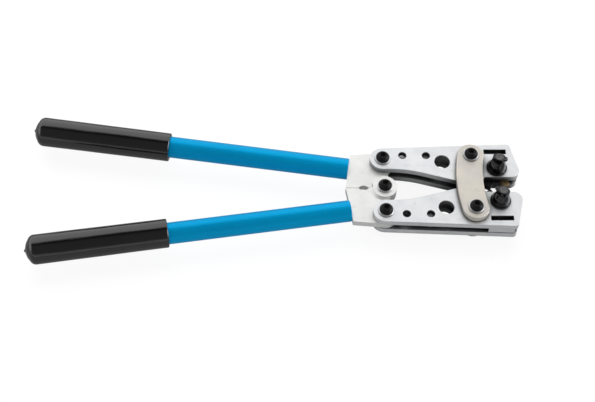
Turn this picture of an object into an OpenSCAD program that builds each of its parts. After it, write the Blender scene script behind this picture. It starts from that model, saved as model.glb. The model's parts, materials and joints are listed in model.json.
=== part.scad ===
// Lug crimping tool with turning dies. Two long levers work two jaws through a toggle.
// The tool lies on its back: +X runs from the grips to the nose and +Z is out of its front face.
// Every size is in millimetres. Shapes are drawn about the centre pin and then put on the ground.

/* [Linkage] */
// Distance of each jaw's two pins from the centre line
pin_row = 23.9; // [22:0.1:28]
// How far the rear pins lie behind the centre pin
rear_pin_back = 0.8; // [0:0.1:2]
// Distance along the tool from the centre pin to the link pins
link_pin_ahead = 67.4; // [62:0.1:76]
// Diameter of the five pivot pins
pin_d = 10; // [8:0.5:10.5]
// Radial clearance of a pin or axle that turns
run_clear = 0.05; // [0.02:0.01:0.09]
// Radial room of the upper rear pin in its lever, where the linkage is open
open_pivot_room = 1.75; // [1.6:0.05:1.9]
// Gap between flat faces that pass each other
face_clear = 0.2; // [0.1:0.05:0.4]

/* [Jaw plates] */
// Thickness of one jaw plate
plate_t = 5; // [4:0.5:7]
// Space between the two plates of a jaw
plate_gap = 6; // [5.5:0.5:8]
// Radius of the plates' rear end, about the rear pin
jaw_end_r = 9.7; // [9.3:0.1:10.5]
// Angle at which the outer edge flares towards the nose
outer_flare = 2.4; // [1:0.2:4]
// Distance from the rear pin to the bend of the inner edge
throat_l = 17.8; // [14:0.2:24]
// Radius of that bend
throat_r = 100; // [20:5:120]
// Gap between the two jaws where they are closest
heel_gap = 1.8; // [1:0.1:3]
// Length of the nose ahead of the die axis
nose_l = 17.3; // [16.4:0.1:22]
// Length of the straight nose edge behind the die axis
nose_back = 10; // [8:0.5:11]
// Angle at which the nose face leans back
nose_rake = 13; // [5:1:20]
// Radius of the nose's inner corner
nose_r = 6.6; // [3:0.2:8]
// Radius of the nose's outer corner
corner_r = 3; // [1:0.5:4]

/* [Holes in the plates] */
// Diameter of the two small holes
hole_d = 6.4; // [5:0.2:7]
// Distance from the rear pin to the first small hole
hole_ahead = 15.6; // [14.8:0.2:18]
// Distance between the two small holes
hole_pitch = 18.4; // [16:0.2:20]
// How far the small holes lie outside the row of pins
hole_lift = 2.9; // [1:0.1:3.5]
// Diameter of the large hole
big_hole_d = 12.2; // [8:0.2:13]
// Distance from the link pin back to the large hole
big_hole_back = 21.9; // [20.5:0.1:24]
// How far the large hole lies inside the row of pins
big_hole_drop = 2.9; // [0:0.1:3.5]
// Length of the window over the die's number
window_l = 17.5; // [10:0.5:19]
// Width of that window
window_w = 4.2; // [2:0.2:4.2]

/* [Links] */
// Thickness of one link plate
link_t = 5; // [4:0.5:6]
// Width of a link plate
link_w = 20.6; // [19:0.1:21]
// How far a link plate bows rearward between its pins
link_bow = 2.5; // [0.5:0.1:3]

/* [Lever heads] */
// Thickness of each half of the lapped centre eye
eye_t = 4.8; // [4:0.1:6]
// Radius of the centre eye
eye_r = 9.5; // [9:0.1:10]
// Radius of the lug's eye round the rear pin
lug_eye_r = 9.1; // [8.9:0.1:9.3]
// Distance from the centre pin back to the lug's edge
lug_back = 30.1; // [26:0.1:36]
// Length of the lug's edge that carries the tube
lug_edge_l = 30.6; // [28.5:0.1:31]
// Width of the narrowest part of the lug ahead of the pins
waist = 3.5; // [2:0.1:5]
// Width of the relief between the two lugs
relief_w = 8.1; // [5:0.1:9]
// Depth of the relief in each lug
relief_depth = 2.1; // [1:0.1:2.4]
// Distance from the centre pin back to the relief
relief_back = 16.3; // [15.5:0.1:20]
// Gap that is left between the lugs at their stop
stop_gap = 0.3; // [0.2:0.05:0.6]

/* [Handles] */
// Angle between a closed handle and the centre line
handle_angle = 8.4; // [6:0.1:12]
// Distance of the tube's axis from the lug's inner corner, along its edge
tube_seat = 19.3; // [18:0.1:21]
// Outer diameter of the tube
tube_d = 16.5; // [14:0.5:17]
// Wall of the tube
tube_wall = 1.6; // [1:0.1:2.5]
// Length of tube between the head and the grip
bare_l = 139.7; // [110:1:180]
// Length of the head's spigot inside the tube
spigot_l = 30; // [20:1:45]
// Length of the grip
grip_l = 107.2; // [80:1:130]
// Wall of the grip
grip_wall = 3.2; // [2:0.1:4]
// Length of the grip's blunt cone
grip_cone_l = 5.6; // [4.6:0.1:8]
// Radius of the shoulder between the grip's side and its cone
grip_shoulder_r = 5; // [3:0.5:6]
// Diameter of the nipple at the grip's tip
nipple_d = 2; // [1:0.1:4]

/* [Fasteners] */
// Thread diameter of the button head screws
screw_d = 6; // [5:0.5:6]
// Length of a screw's shank under the washer
screw_l = 4.2; // [3:0.1:4.5]
// Diameter of a screw's head
head_d = 10.5; // [9:0.1:11]
// Height of a screw's head
head_h = 3.3; // [2.5:0.1:4]
// Width across flats of the socket
socket_af = 4; // [3:0.5:5]
// Diameter of a washer
washer_d = 12; // [11:0.1:13]
// Thickness of a washer
washer_t = 1.6; // [1:0.1:2]

/* [Dies] */
// Radius of a die wheel
die_r = 15.05; // [14.8:0.05:15.3]
// Gap between the two closed dies
die_gap = 0.3; // [0.2:0.05:0.8]
// Distance along the tool from the link pins to the die axis
die_ahead = 20.1; // [18.8:0.1:21]
// How far a die stands out of the nose's edge
die_proud = 6.6; // [5:0.1:7]
// Width across flats of the nest in use
nest_af = 9.9; // [8.5:0.1:11]
// Step in width from one nest to the next smaller one
nest_step = 1.2; // [0.6:0.1:1.3]
// Diameter of the axle's journal
axle_d = 8; // [7:0.5:9]
// Thickness of the washer under the retaining ring
thrust_t = 0.8; // [0.5:0.1:1.2]
// Thickness of the retaining ring
ring_t = 0.8; // [0.6:0.1:1]

/* [Knobs] */
// Outer diameter of the seat ring round the knob
seat_d = 16; // [15:0.5:16.5]
// Height of the seat ring
seat_h = 2.6; // [2:0.1:3.2]
// Diameter of the knob's collar
collar_d = 13.4; // [12.8:0.1:14]
// Height of the knob's collar
collar_h = 4; // [3.6:0.1:5]
// Diameter of the knob's body where it leaves the collar
knob_base_d = 12.8; // [11.5:0.1:13]
// Diameter of the knob's body at its top
knob_top_d = 10.2; // [9.6:0.1:10.8]
// Radius of the knob's rounded top edge
knob_edge_r = 1.2; // [0.6:0.1:1.4]
// Height of the knob from the jaw to its top
knob_h = 15.4; // [13.6:0.1:17]
// Reach of the knob's pointer from its axis
pointer_l = 6.5; // [6:0.1:7.5]
// Width of the pointer
pointer_w = 3.6; // [2.5:0.1:4]
// Height of the pointer
pointer_h = 2; // [1.5:0.1:3]
// Diameter of the spindle that the knob slides on
spindle_d = 4.6; // [4.5:0.1:5.2]

/* [Hidden] */
$fn = 72;

// Colours
zinc = [0.86, 0.87, 0.88];
warm_zinc = [0.82, 0.79, 0.75];
bright = [0.75, 0.76, 0.78];
black = [0.06, 0.06, 0.07];
blued = [0.20, 0.17, 0.15];
blue = [0.0, 0.46, 0.70];

// Overlap of shapes that are joined, and reach of a cut past a face
eps = 0.01;
past = 1;

// Heights above the middle plane
plate_z = plate_gap / 2;
jaw_face = plate_z + plate_t;
link_z = jaw_face + face_clear;
link_face = link_z + link_t;
lug_z = plate_z - face_clear;
eye_z = face_clear / 2;
eye_face = eye_z + eye_t;
centre_pin_face = eye_face + face_clear / 2;
screw_clear = 0.1;

// Places of the upper pins; the lower ones are their mirror image
rear_pin = [-rear_pin_back, pin_row];
link_pin = [link_pin_ahead, pin_row];
die_axis = [link_pin_ahead + die_ahead, die_r + die_gap / 2];
first_hole = rear_pin + [hole_ahead, hole_lift];
second_hole = first_hole + [hole_pitch, 0];
big_hole = link_pin - [big_hole_back, big_hole_drop];
window_row = die_axis.y + die_r + 0.3;

// Handle frame: its origin is where the tube's axis meets the lug's edge
edge_dir = [sin(handle_angle), cos(handle_angle)];
out_dir = [-cos(handle_angle), sin(handle_angle)];
lug_corner = [-lug_back, stop_gap / 2];
tube_start = lug_corner + tube_seat * edge_dir;
tube_l = bare_l + grip_l - grip_cone_l - grip_wall;
grip_d = tube_d + 2 * grip_wall;
grip_tip = tube_start + (bare_l + grip_l) * out_dir;

// Dies and knobs
die_clear = 0.35;
disc_t = plate_gap - 2 * face_clear;
nests = 6;
thrust_z = -jaw_face - face_clear - thrust_t;
ring_gap = 60;
ring_w = 2;
groove_depth = 0.8;
tap_d = 3;
tap_l = 5;
knob_bore_d = spindle_d + 2 * run_clear;
spring_wire = 0.6;
spring_d = spindle_d + 1.4;
chamber_d = spring_d + 0.4;
knob_floor = jaw_face + collar_h + 0.4;
knob_top = jaw_face + knob_h;
cap_t = 1.5;
spindle_head_t = 1.4;
head_room = 0.3;
spindle_top = knob_top - cap_t - head_room;
spring_top = spindle_top - spindle_head_t;
spring_turns = 3;
spindle_neck_d = spring_d - 2 * spring_wire - 0.4;

// The row's origin: on the ground, under the middle of the tool
mid_x = (die_axis.x + nose_l + grip_tip.x) / 2;
ground = link_face + washer_t + head_h;

// ---- Outlines ----

// Points along an arc
function arc(centre, r, from, to, steps) =
    [for (i = [0 : steps]) let (a = from + (to - from) * i / steps) centre + r * [cos(a), sin(a)]];

// The point whose distances along the unit vectors n and m are a and b
function meet(n, a, m, b) = [a * m.y - b * n.y, b * n.x - a * m.x] / (n.x * m.y - n.y * m.x);

// Where a line from a point touches a circle, with the circle on the line's left or right (side 1 or -1)
function touch(point, centre, r, side) =
    let (v = centre - point, d = norm(v), turn = atan2(v.y, v.x) - side * asin(r / d))
    point + sqrt(d * d - r * r) * [cos(turn), sin(turn)];

// Inner edge of the jaw: level at the rear, a bend, a slope and the heel under the link
throat_y = pin_row - jaw_end_r;
bend = [rear_pin.x + throat_l, throat_y];
heel_r = pin_row - heel_gap / 2;
heel = touch(bend, link_pin, heel_r, 1);
inner_slope = atan2(bend.y - heel.y, heel.x - bend.x);
bend_r = min(throat_r, (throat_l - 1) / tan(inner_slope / 2));
bend_c = [bend.x - bend_r * tan(inner_slope / 2), throat_y - bend_r];

// Nose of the jaw
nose_y = die_gap / 2 + die_proud;
nose_c = [die_axis.x + nose_l - nose_r, nose_y + nose_r];
flare_n = [-sin(outer_flare), cos(outer_flare)];
rake_n = [cos(nose_rake), sin(nose_rake)];
corner_c = meet(
    flare_n, flare_n * rear_pin + jaw_end_r - corner_r,
    rake_n, rake_n * nose_c + nose_r - corner_r
);

jaw_outline = concat(
    arc(rear_pin, jaw_end_r, 90 + outer_flare, 270, 24),
    arc(bend_c, bend_r, 90, 90 - inner_slope, 8),
    arc(link_pin, heel_r, 270 - inner_slope, 282, 8),
    [[die_axis.x - nose_back, nose_y]],
    arc(nose_c, nose_r, 270, 360 + nose_rake, 10),
    arc(corner_c, corner_r, nose_rake, 90 + outer_flare, 6)
);

// Bowed link: two long arcs about one centre, joined by a half circle round each pin
link_arc_r = (pin_row * pin_row + link_bow * link_bow) / (2 * link_bow);
link_arc_c = [link_pin.x - link_bow + link_arc_r, 0];
link_lean = asin(pin_row / link_arc_r);

link_outline = concat(
    arc(link_arc_c, link_arc_r + link_w / 2, 180 + link_lean, 180 - link_lean, 24),
    arc(link_pin, link_w / 2, 180 - link_lean, -link_lean, 24),
    arc(link_arc_c, link_arc_r - link_w / 2, 180 - link_lean, 180 + link_lean, 24),
    arc([link_pin.x, -pin_row], link_w / 2, link_lean, link_lean - 180, 24)
);

// ---- Helpers ----

// Puts a shape drawn about the centre pin in the row's frame
module seat() {
    translate([-mid_x, 0, ground]) children();
}

// The lower half of the tool is the upper half's mirror image
module lower_half() {
    mirror([0, 1, 0]) children();
}

// Upright cylinder between two heights
module post(at, d, from, to) {
    translate([at.x, at.y, from]) cylinder(d = d, h = to - from);
}

// Copies on the front and, turned over, on the back
module both_faces() {
    children();
    mirror([0, 0, 1]) children();
}

// Tapped pin between two faces of equal height
module tapped_pin(at, d, face) {
    bore_l = min(screw_l + 1, face - 0.3);
    difference() {
        post(at, d, -face, face);
        both_faces() post(at, screw_d, face - bore_l, face + past);
    }
}

// Flat washer lying on a face
module washer(at, face) {
    difference() {
        post(at, washer_d, face, face + washer_t);
        post(at, screw_d + 0.4, face - past, face + washer_t + past);
    }
}

// Button head screw standing on a washer that lies on a face
module button_screw(at, face) {
    rim_h = 0.6;
    socket_depth = 2;
    seat_z = face + washer_t;
    crown_r = socket_af / 2 / cos(30) + 0.3;
    rim_r = head_d / 2 - 0.2;
    // The ball runs through the edge of the flat crown and through the rim
    ball_z = (pow(crown_r, 2) + pow(head_h, 2) - pow(rim_r, 2) - pow(rim_h, 2)) / (2 * (head_h - rim_h));
    ball_r = norm([rim_r, rim_h - ball_z]);
    shank_l = min(screw_l, face - 0.5);
    difference() {
        union() {
            intersection() {
                post(at, head_d, seat_z, seat_z + head_h);
                translate([at.x, at.y, seat_z + ball_z]) sphere(r = ball_r);
            }
            post(at, screw_d - 2 * screw_clear, face - shank_l, seat_z + rim_h);
        }
        translate([at.x, at.y, seat_z + head_h - socket_depth])
            cylinder(d = socket_af / cos(30), h = socket_depth + past, $fn = 6);
    }
}

// ---- Levers ----

// Flat outline of the upper lever's lug, without its eyes
module lug_outline() {
    // The edges run a little inside the round eyes, so that they cross them instead of grazing them
    bite = 0.3;
    outer_corner = lug_corner + lug_edge_l * edge_dir;
    outer_touch = touch(outer_corner, rear_pin, lug_eye_r - bite, -1);
    mean_r = (eye_r + lug_eye_r) / 2 - bite;
    half_row = norm(rear_pin) / 2;
    fillet_r = (waist * waist + half_row * half_row - mean_r * mean_r) / (2 * (mean_r - waist));
    fillet_c = rear_pin / 2 + [waist + fillet_r, 0];
    relief_r = (pow(relief_w / 2, 2) + pow(relief_depth, 2)) / (2 * relief_depth);
    difference() {
        polygon([
            lug_corner, [0, stop_gap / 2], [eye_r / 2, stop_gap / 2], fillet_c, rear_pin,
            outer_touch, outer_corner
        ]);
        translate(fillet_c) circle(r = fillet_r);
        translate([-relief_back, relief_depth - relief_r]) circle(r = relief_r);
    }
}

// Head of the upper lever: lug, rear half of the centre eye, and spigot
module lever_head(rear_bore_d) {
    tenon_l = 3;
    difference() {
        union() {
            translate([0, 0, -lug_z]) linear_extrude(2 * lug_z) lug_outline();
            post(rear_pin, 2 * lug_eye_r, -lug_z, lug_z);
            post([0, 0], 2 * eye_r, -eye_face, -eye_z);
            intersection() {
                translate([0, 0, -eye_face + 0.4]) cylinder(r1 = eye_r - 0.2, r2 = eye_r + 2.6, h = 2.2);
                translate([0, 0, -eye_face]) linear_extrude(eye_face) lug_outline();
            }
            spigot(tenon_l);
        }
        // Room for the other lever's half of the eye
        post([0, 0], 2 * (eye_r + 0.4), -eye_z, lug_z + past);
        post([0, 0], pin_d + 2 * run_clear, -eye_face - past, eye_z + past);
        post(rear_pin, rear_bore_d, -lug_z - past, lug_z + past);
    }
}

// Spigot that fills the tube's end, with a tongue that runs into it from the lug
module spigot(tenon_l) {
    spigot_d = tube_d - 2 * tube_wall - 2 * run_clear;
    step_off = 0.4;
    along_tube(step_off) cylinder(d = spigot_d, h = spigot_l);
    translate([tube_start.x, tube_start.y, 0]) rotate(-handle_angle)
        translate([-tenon_l, -spigot_d / 2 + 1, -lug_z]) cube([tenon_l + past, spigot_d - 2, 2 * lug_z]);
}

// Frame whose +Z runs down the upper tube, starting at a distance from the lug
module along_tube(from) {
    translate([tube_start.x, tube_start.y, 0]) rotate([0, 0, 180 - handle_angle])
        rotate([0, 90, 0]) translate([0, 0, from]) children();
}

module handle_tube() {
    along_tube(0) difference() {
        cylinder(d = tube_d, h = tube_l);
        translate([0, 0, -past]) cylinder(d = tube_d - 2 * tube_wall, h = tube_l + 2 * past);
    }
}

// Sleeve with a closed end: round shoulder, cone and nipple
module grip() {
    nipple_h = 0.4;
    lip = 0.6;
    r = grip_d / 2;
    slope = atan2(r - nipple_d / 2, grip_cone_l - nipple_h);
    shoulder_z = grip_l - grip_cone_l - grip_shoulder_r * tan(slope / 2);
    along_tube(bare_l) difference() {
        rotate_extrude() polygon(concat(
            [[0, 0], [r - lip, 0], [r, lip]],
            arc([r - grip_shoulder_r, shoulder_z], grip_shoulder_r, 0, slope, 8),
            [[nipple_d / 2, grip_l - nipple_h], [nipple_d / 4, grip_l], [0, grip_l]]
        ));
        translate([0, 0, -past]) cylinder(d = tube_d, h = tube_l - bare_l + past);
    }
}

// ---- Jaws ----

// One plate of the upper jaw, standing between two heights
module jaw_plate(from, to) {
    difference() {
        translate([0, 0, from]) linear_extrude(to - from) polygon(jaw_outline);
        post(rear_pin, pin_d, from - past, to + past);
        post(link_pin, pin_d + 2 * run_clear, from - past, to + past);
        post(die_axis, axle_d + 2 * run_clear, from - past, to + past);
        post(first_hole, hole_d, from - past, to + past);
        post(second_hole, hole_d, from - past, to + past);
        post(big_hole, big_hole_d, from - past, to + past);
        translate([die_axis.x - window_l / 2, window_row - window_w / 2, from - past])
            cube([window_l, window_w, to - from + 2 * past]);
    }
}

// Block that joins the plates behind the die
module nose_block() {
    inset = 0.5;
    difference() {
        intersection() {
            translate([0, -inset, -plate_z]) linear_extrude(plate_gap) polygon(jaw_outline);
            translate([die_axis.x - nose_back, die_axis.y + nose_back, -plate_gap])
                cube([2 * nose_back, 3 * nose_back, 2 * plate_gap]);
        }
        post(die_axis, 2 * (die_r + die_clear), -plate_gap, plate_gap);
    }
}

module spacer_sleeve() {
    sleeve_wall = 1.8;
    difference() {
        post(second_hole, hole_d + 2 * sleeve_wall, -plate_z, plate_z);
        post(second_hole, hole_d, -plate_z - past, plate_z + past);
    }
}

module knob_seat() {
    difference() {
        post(die_axis, seat_d, jaw_face, jaw_face + seat_h);
        post(die_axis, collar_d + 0.6, jaw_face - past, jaw_face + seat_h + past);
    }
}

// ---- Links ----

module link_plate(from, to) {
    difference() {
        translate([0, 0, from]) linear_extrude(to - from) polygon(link_outline);
        for (side = [1, -1]) post([link_pin.x, side * pin_row], pin_d, from - past, to + past);
    }
}

// ---- Dies ----

// Wheel with a half hexagon nest for each size of lug; the nest in use faces the other jaw
module die_wheel() {
    difference() {
        post(die_axis, 2 * die_r, -disc_t / 2, disc_t / 2);
        post(die_axis, axle_d, -plate_gap, plate_gap);
        for (i = [0 : nests - 1])
            translate([die_axis.x, die_axis.y, -plate_gap]) rotate(-90 + i * 360 / nests)
                translate([die_axis.y, 0, 0]) rotate(30)
                    cylinder(d = (nest_af - i * nest_step) / cos(30), h = 2 * plate_gap, $fn = 6);
    }
}

// Journal through both plates, groove for the ring, and the spindle that the knob slides on
module die_axle() {
    tail = 1;
    groove_z = thrust_z - ring_t;
    difference() {
        union() {
            post(die_axis, axle_d, groove_z - tail, jaw_face);
            post(die_axis, spindle_d, jaw_face - eps, knob_floor);
        }
        difference() {
            post(die_axis, axle_d + past, groove_z, thrust_z);
            post(die_axis, axle_d - 2 * groove_depth, groove_z - past, thrust_z + past);
        }
        post(die_axis, tap_d, knob_floor - tap_l, knob_floor + past);
    }
}

module thrust_washer() {
    difference() {
        post(die_axis, axle_d + 5, thrust_z, thrust_z + thrust_t);
        post(die_axis, axle_d, thrust_z - past, thrust_z + thrust_t + past);
    }
}

module retaining_ring() {
    translate([die_axis.x, die_axis.y, thrust_z - ring_t])
        rotate(90 + ring_gap / 2) rotate_extrude(angle = 360 - ring_gap)
            translate([axle_d / 2 - groove_depth, 0]) square([ring_w, ring_t]);
}

// Shoulder screw that holds the spring inside the knob
module spindle_screw() {
    post(die_axis, tap_d - 2 * screw_clear, knob_floor - tap_l + screw_clear, knob_floor + eps);
    post(die_axis, spindle_neck_d, knob_floor, spring_top + eps);
    post(die_axis, spring_d, spring_top, spindle_top);
}

// ---- Knobs ----

// Pull and turn knob: collar, tapered body and pointer, hollow for the spring
module knob() {
    foot = jaw_face + face_clear;
    collar_top = jaw_face + collar_h;
    edge_c = [knob_top_d / 2, knob_top] - knob_edge_r * [1, 1];
    pointer_top = knob_top - 0.3;
    difference() {
        union() {
            translate([die_axis.x, die_axis.y, 0]) rotate_extrude() polygon(concat(
                [[0, foot], [collar_d / 2, foot], [collar_d / 2, collar_top], [knob_base_d / 2, collar_top]],
                arc(edge_c, knob_edge_r, 0, 90, 4), [[0, knob_top]]
            ));
            translate([die_axis.x, die_axis.y - pointer_w / 2, pointer_top - pointer_h])
                cube([pointer_l - pointer_w / 2, pointer_w, pointer_h]);
            post(die_axis + [pointer_l - pointer_w / 2, 0], pointer_w, pointer_top - pointer_h, pointer_top);
        }
        post(die_axis, knob_bore_d, jaw_face, knob_floor + past);
        post(die_axis, chamber_d, knob_floor, knob_top + past);
    }
}

module knob_cap() {
    post(die_axis, chamber_d, knob_top - cap_t, knob_top + 0.1);
}

// Compression spring, drawn as its rings of wire joined by a thin strip
module knob_spring() {
    room = spring_top - knob_floor - spring_wire;
    r = (spring_d - spring_wire) / 2;
    strip = spring_wire / 2;
    translate([die_axis.x, die_axis.y, knob_floor + spring_wire / 2]) {
        for (i = [0 : spring_turns])
            translate([0, 0, room * i / spring_turns])
                rotate_extrude() translate([r, 0]) circle(d = spring_wire, $fn = 16);
        translate([r - strip / 2, -strip / 2, 0]) cube([strip, strip, room]);
    }
}

// ---- Nodes ----

module lower_lever_head() { color(zinc) seat() rotate([180, 0, 0]) lever_head(pin_d + 2 * run_clear); }
module lower_handle_tube() { color(blue) seat() lower_half() handle_tube(); }
module lower_grip() { color(black) seat() lower_half() grip(); }
module upper_lever_head() { color(zinc) seat() lever_head(pin_d + 2 * open_pivot_room); }
module upper_handle_tube() { color(blue) seat() handle_tube(); }
module upper_grip() { color(black) seat() grip(); }

module centre_pin() { color(bright) seat() tapped_pin([0, 0], pin_d, centre_pin_face); }
module centre_screws() { color(black) seat() both_faces() button_screw([0, 0], centre_pin_face); }
module centre_washers() { color(bright) seat() both_faces() washer([0, 0], centre_pin_face); }

module lower_jaw_front_plate() { color(zinc) seat() lower_half() jaw_plate(plate_z, jaw_face); }
module lower_jaw_back_plate() { color(zinc) seat() lower_half() jaw_plate(-jaw_face, -plate_z); }
module lower_nose_block() { color(zinc) seat() lower_half() nose_block(); }
module lower_spacer_sleeve() { color(bright) seat() lower_half() spacer_sleeve(); }
module lower_rear_pin() { color(bright) seat() lower_half() tapped_pin(rear_pin, pin_d, jaw_face); }
module lower_rear_screws() { color(black) seat() lower_half() both_faces() button_screw(rear_pin, jaw_face); }
module lower_rear_washers() { color(bright) seat() lower_half() both_faces() washer(rear_pin, jaw_face); }
module lower_knob_seat() { color(black) seat() lower_half() knob_seat(); }

module upper_jaw_front_plate() { color(zinc) seat() jaw_plate(plate_z, jaw_face); }
module upper_jaw_back_plate() { color(zinc) seat() jaw_plate(-jaw_face, -plate_z); }
module upper_nose_block() { color(zinc) seat() nose_block(); }
module upper_spacer_sleeve() { color(bright) seat() spacer_sleeve(); }
module upper_rear_pin() { color(bright) seat() tapped_pin(rear_pin, pin_d, jaw_face); }
module upper_rear_screws() { color(black) seat() both_faces() button_screw(rear_pin, jaw_face); }
module upper_rear_washers() { color(bright) seat() both_faces() washer(rear_pin, jaw_face); }
module upper_knob_seat() { color(black) seat() knob_seat(); }

module front_link_plate() { color(warm_zinc) seat() link_plate(link_z, link_face); }
module back_link_plate() { color(warm_zinc) seat() link_plate(-link_face, -link_z); }
module lower_link_pin() { color(bright) seat() lower_half() tapped_pin(link_pin, pin_d, link_face); }
module upper_link_pin() { color(bright) seat() tapped_pin(link_pin, pin_d, link_face); }
module link_screws() {
    color(black) seat() both_faces() {
        button_screw(link_pin, link_face);
        lower_half() button_screw(link_pin, link_face);
    }
}
module link_washers() {
    color(bright) seat() both_faces() {
        washer(link_pin, link_face);
        lower_half() washer(link_pin, link_face);
    }
}

module lower_die_wheel() { color(blued) seat() lower_half() die_wheel(); }
module lower_die_axle() { color(blued) seat() lower_half() die_axle(); }
module lower_thrust_washer() { color(bright) seat() lower_half() thrust_washer(); }
module lower_retaining_ring() { color(blued) seat() lower_half() retaining_ring(); }
module lower_spindle_screw() { color(bright) seat() lower_half() spindle_screw(); }
module upper_die_wheel() { color(blued) seat() die_wheel(); }
module upper_die_axle() { color(blued) seat() die_axle(); }
module upper_thrust_washer() { color(bright) seat() thrust_washer(); }
module upper_retaining_ring() { color(blued) seat() retaining_ring(); }
module upper_spindle_screw() { color(bright) seat() spindle_screw(); }

module lower_knob() { color(black) seat() lower_half() knob(); }
module lower_knob_cap() { color(black) seat() lower_half() knob_cap(); }
module lower_knob_spring() { color(bright) seat() lower_half() knob_spring(); }
module upper_knob() { color(black) seat() knob(); }
module upper_knob_cap() { color(black) seat() knob_cap(); }
module upper_knob_spring() { color(bright) seat() knob_spring(); }

lower_lever_head();
lower_handle_tube();
lower_grip();
upper_lever_head();
upper_handle_tube();
upper_grip();
centre_pin();
centre_screws();
centre_washers();
lower_jaw_front_plate();
lower_jaw_back_plate();
lower_nose_block();
lower_spacer_sleeve();
lower_rear_pin();
lower_rear_screws();
lower_rear_washers();
lower_knob_seat();
upper_jaw_front_plate();
upper_jaw_back_plate();
upper_nose_block();
upper_spacer_sleeve();
upper_rear_pin();
upper_rear_screws();
upper_rear_washers();
upper_knob_seat();
front_link_plate();
back_link_plate();
lower_link_pin();
upper_link_pin();
link_screws();
link_washers();
lower_die_wheel();
lower_die_axle();
lower_thrust_washer();
lower_retaining_ring();
lower_spindle_screw();
upper_die_wheel();
upper_die_axle();
upper_thrust_washer();
upper_retaining_ring();
upper_spindle_screw();
lower_knob();
lower_knob_cap();
lower_knob_spring();
upper_knob();
upper_knob_cap();
upper_knob_spring();
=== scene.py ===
"""Looks of a two-handed lug crimping tool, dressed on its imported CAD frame.

The tool lies on its back: +X runs from the grips to the nose, +Y to the upper lever and +Z out of its front
face. Lengths are in metres. Turned, pressed and dipped pieces are surfaces worked out with numpy; plates and
forgings are copies of their CAD solids with rounded edges.
"""
import json
import math

import bmesh
import bpy
import numpy as np
from mathutils import Matrix, Vector
from mathutils.bvhtree import BVHTree

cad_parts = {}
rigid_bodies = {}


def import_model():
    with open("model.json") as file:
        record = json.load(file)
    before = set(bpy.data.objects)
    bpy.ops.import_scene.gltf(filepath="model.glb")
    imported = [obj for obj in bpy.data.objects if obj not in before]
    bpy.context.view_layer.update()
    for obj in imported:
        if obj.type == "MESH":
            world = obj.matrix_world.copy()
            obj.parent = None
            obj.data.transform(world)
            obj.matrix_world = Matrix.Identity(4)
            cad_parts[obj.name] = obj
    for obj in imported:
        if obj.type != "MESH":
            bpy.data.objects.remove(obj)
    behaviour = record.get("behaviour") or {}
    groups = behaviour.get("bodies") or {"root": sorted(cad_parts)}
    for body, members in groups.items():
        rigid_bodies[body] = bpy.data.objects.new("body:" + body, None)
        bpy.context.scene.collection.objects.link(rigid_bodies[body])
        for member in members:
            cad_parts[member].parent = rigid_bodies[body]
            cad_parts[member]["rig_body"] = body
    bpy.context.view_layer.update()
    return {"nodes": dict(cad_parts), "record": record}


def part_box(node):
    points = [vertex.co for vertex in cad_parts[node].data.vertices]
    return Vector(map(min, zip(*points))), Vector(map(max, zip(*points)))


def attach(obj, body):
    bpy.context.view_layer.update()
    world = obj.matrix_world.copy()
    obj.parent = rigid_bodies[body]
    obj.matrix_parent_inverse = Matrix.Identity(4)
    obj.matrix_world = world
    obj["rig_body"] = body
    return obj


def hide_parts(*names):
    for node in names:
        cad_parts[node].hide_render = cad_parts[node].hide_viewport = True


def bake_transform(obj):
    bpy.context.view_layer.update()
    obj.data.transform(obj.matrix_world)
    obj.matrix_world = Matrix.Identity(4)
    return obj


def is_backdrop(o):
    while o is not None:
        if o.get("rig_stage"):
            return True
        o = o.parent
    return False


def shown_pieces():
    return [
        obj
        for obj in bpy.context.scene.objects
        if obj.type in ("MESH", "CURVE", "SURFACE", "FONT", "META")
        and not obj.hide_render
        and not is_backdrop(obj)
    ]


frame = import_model()
NODES = frame["nodes"]
MM = 0.001
SIDES = ("lower", "upper")

# ---- The photograph's view ----

PHOTO_W, PHOTO_H = 595, 402
CAMERA_TILT = math.radians(33.092)    # from straight above, towards the viewer's side
CAMERA_TURN = math.radians(-5.297)    # about the vertical
CAMERA_ROLL = math.radians(4.537)
CAMERA_AIM = Vector((0.01602, -0.01035, 0.0181))
CAMERA_REACH = 1.1092
LENS = 87.74
SENSOR = 36.0

# Named points of the photograph: x and y, with None where only one of them is given
POINTS = {
    "left_edge": (24, None),
    "right_edge": (523, None),
    "top_edge": (None, 118.5),
    "bottom_edge": (None, 264),
    "centre_screw": (385.3, 184),
    "upper_rear_screw": (382, 156.3),
    "lower_rear_screw": (386.5, 208.4),
    "upper_link_screw": (471.8, 153.3),
    "lower_link_screw": (477.7, 204.8),
    "upper_large_hole": (441.8, 161.8),
    "lower_large_hole": (446.8, 207.5),
    "upper_knob_cap": (499.9, 157.9),
    "lower_knob_cap": (503.8, 188.5),
    "upper_pointer": (505.5, 158.4),
    "straw_tint": (506.5, 181),
    "upper_grip_tip": (34.5, 131),
    "lower_grip_tip": (24, 250.5),
}


def camera_axes():
    """The camera's right, up and backward directions: backward leans from +Z towards -Y by the tilt, turned
    about Z, and right and up are then rolled about it."""
    backward = Vector((
        math.sin(CAMERA_TURN) * math.sin(CAMERA_TILT),
        -math.cos(CAMERA_TURN) * math.sin(CAMERA_TILT),
        math.cos(CAMERA_TILT),
    ))
    level = Vector((0, 0, 1)).cross(backward).normalized()
    upright = backward.cross(level)
    right = math.cos(CAMERA_ROLL) * level + math.sin(CAMERA_ROLL) * upright
    up = math.cos(CAMERA_ROLL) * upright - math.sin(CAMERA_ROLL) * level
    return right, up, backward


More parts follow.
